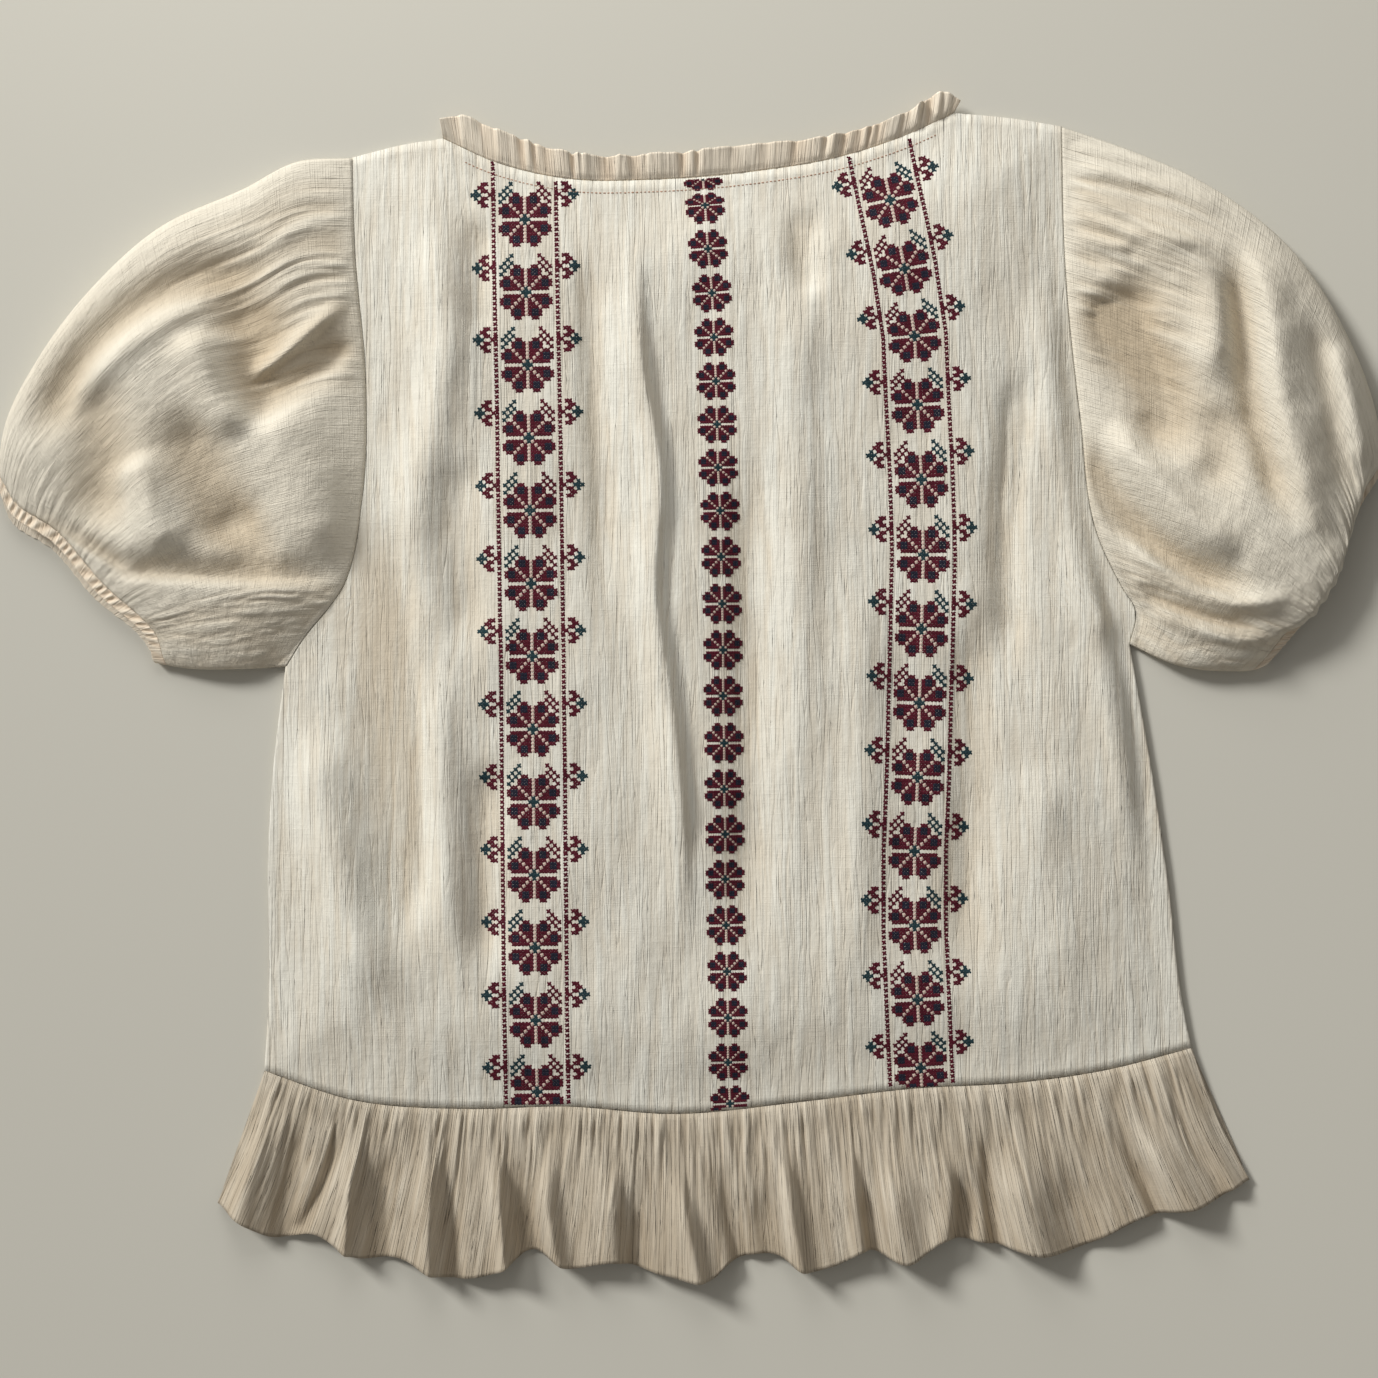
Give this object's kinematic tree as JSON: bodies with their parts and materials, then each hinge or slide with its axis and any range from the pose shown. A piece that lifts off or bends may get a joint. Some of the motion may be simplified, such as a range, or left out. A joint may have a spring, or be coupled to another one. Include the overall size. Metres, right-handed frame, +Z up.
{
  "type": "peasant top",
  "caption": "Cropped peasant top in crinkled cream gauze with puff sleeves, a ruffled neck, a gathered hem ruffle and cross-stitched strips, laid flat with its back up.",
  "frame": {"origin": "on the surface that the garment lies on, under the front panel, midway across the sleeves", "axes": "+X across the garment to the sleeve at the right of the picture, +Y from the hem to the neck, +Z up from the surface"},
  "size_m": [0.7762, 0.6662, 0.03],
  "materials": {
    "gauze": "crinkled matte cotton gauze",
    "ruffle_gauze": "gathered matte cotton gauze",
    "embroidery": "stranded cotton thread with a soft sheen"
  },
  "bodies": {
    "root": {"back_panel": "gauze", "front_panel": "gauze", "sleeve_left": "gauze", "sleeve_right": "gauze", "cuff_left": "ruffle_gauze", "cuff_right": "ruffle_gauze", "neck_ruffle_back": "ruffle_gauze", "neck_ruffle_front": "ruffle_gauze", "hem_ruffle_back": "ruffle_gauze", "hem_ruffle_front": "ruffle_gauze"}
  },
  "joints": []
}
